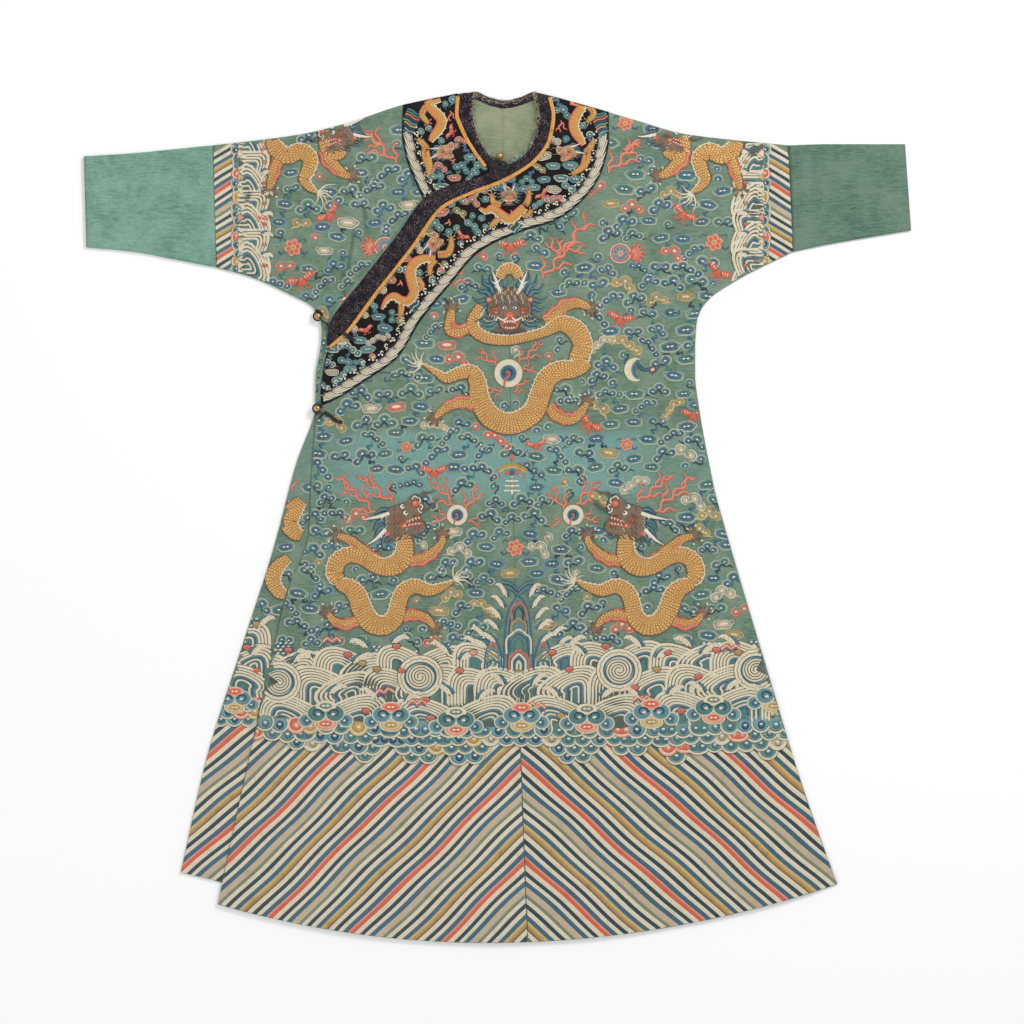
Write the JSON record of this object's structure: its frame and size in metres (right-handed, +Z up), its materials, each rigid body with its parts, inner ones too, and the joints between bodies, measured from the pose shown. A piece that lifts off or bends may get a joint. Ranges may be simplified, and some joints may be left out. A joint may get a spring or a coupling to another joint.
{
  "type": "chinese dragon robe",
  "caption": "Long embroidered silk robe laid flat, with a side-fastened overlap, dark collar yoke, plain sleeve ends and ball buttons.",
  "frame": {"origin": "on the floor under the middle of the robe's outline as it lies flat", "axes": "+Z up out of the floor, +Y from the hem towards the shoulders, +X towards the wearer's left sleeve"},
  "size_m": [1.36, 1.3994, 0.0177],
  "materials": {
    "embroidered_silk": "green silk gauze with coloured silk and gold thread embroidery",
    "lining_silk": "pale green plain silk, matt",
    "plain_silk": "plain green silk, soft sheen",
    "yoke_silk": "blue-black satin with small embroidered dragons and clouds",
    "navy_binding": "dark blue pile binding, worn and flecked",
    "gold_piping": "gold thread braid",
    "button_brass": "worn cast brass",
    "black_cord": "black silk cord, matt"
  },
  "bodies": {
    "root": {"back_left": "embroidered_silk", "back_right": "embroidered_silk", "front_left": "embroidered_silk", "front_overlap": "embroidered_silk", "front_inner_right": "embroidered_silk", "lining_left": "lining_silk", "lining_right": "lining_silk", "sleeve_end_left": "plain_silk", "sleeve_end_right": "plain_silk", "yoke_left": "yoke_silk", "yoke_right": "yoke_silk", "binding_back": "navy_binding", "binding_left": "navy_binding", "binding_right": "navy_binding", "piping_left": "gold_piping", "piping_right": "gold_piping", "button_neck": "button_brass", "button_underarm": "button_brass", "button_side": "button_brass", "loop_neck": "black_cord", "loop_underarm": "black_cord", "loop_side": "black_cord", "strap_underarm": "black_cord", "strap_side": "black_cord"}
  },
  "joints": []
}
